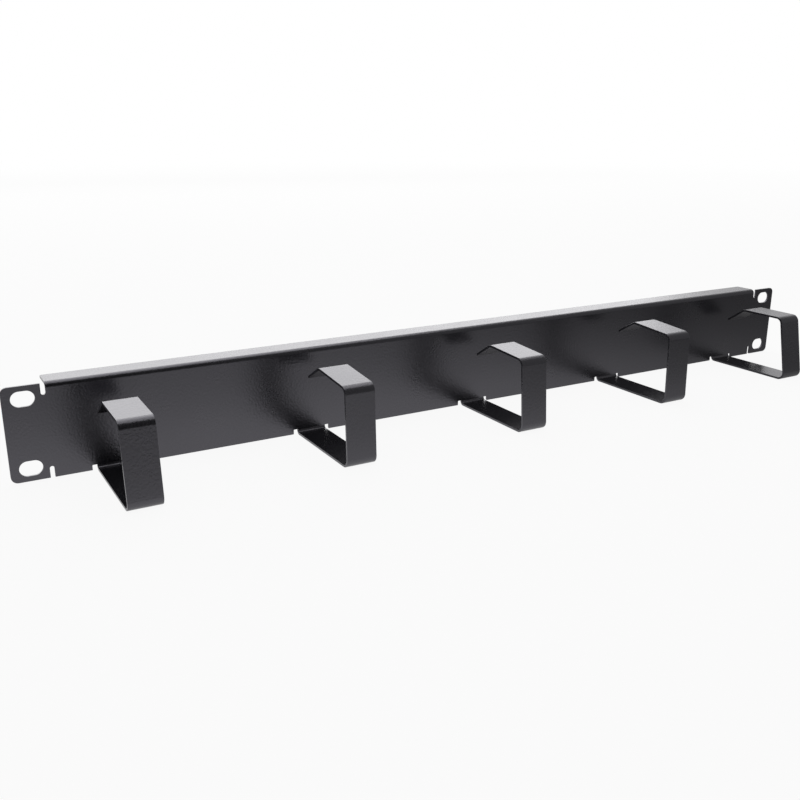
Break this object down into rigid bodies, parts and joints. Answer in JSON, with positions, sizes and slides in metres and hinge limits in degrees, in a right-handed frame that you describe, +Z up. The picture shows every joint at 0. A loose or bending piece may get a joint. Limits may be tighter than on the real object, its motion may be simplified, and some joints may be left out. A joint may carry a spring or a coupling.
{
  "type": "horizontal cable manager",
  "caption": "Flat steel rack panel with slotted ears, a folded top flange and open cable rings that lead patch cables along the rack.",
  "frame": {"origin": "centre of the rack slot pattern, on the rear mating face of the ears", "axes": "+X along the panel, +Z up, the rings reach forward along -Y and +Y points into the rack"},
  "size_m": [0.4826, 0.0699, 0.044],
  "materials": {
    "black_powder_coat": "semi-gloss black powder coat with a fine orange-peel texture"
  },
  "bodies": {
    "root": {"cable_manager_panel": "black_powder_coat"}
  },
  "joints": []
}
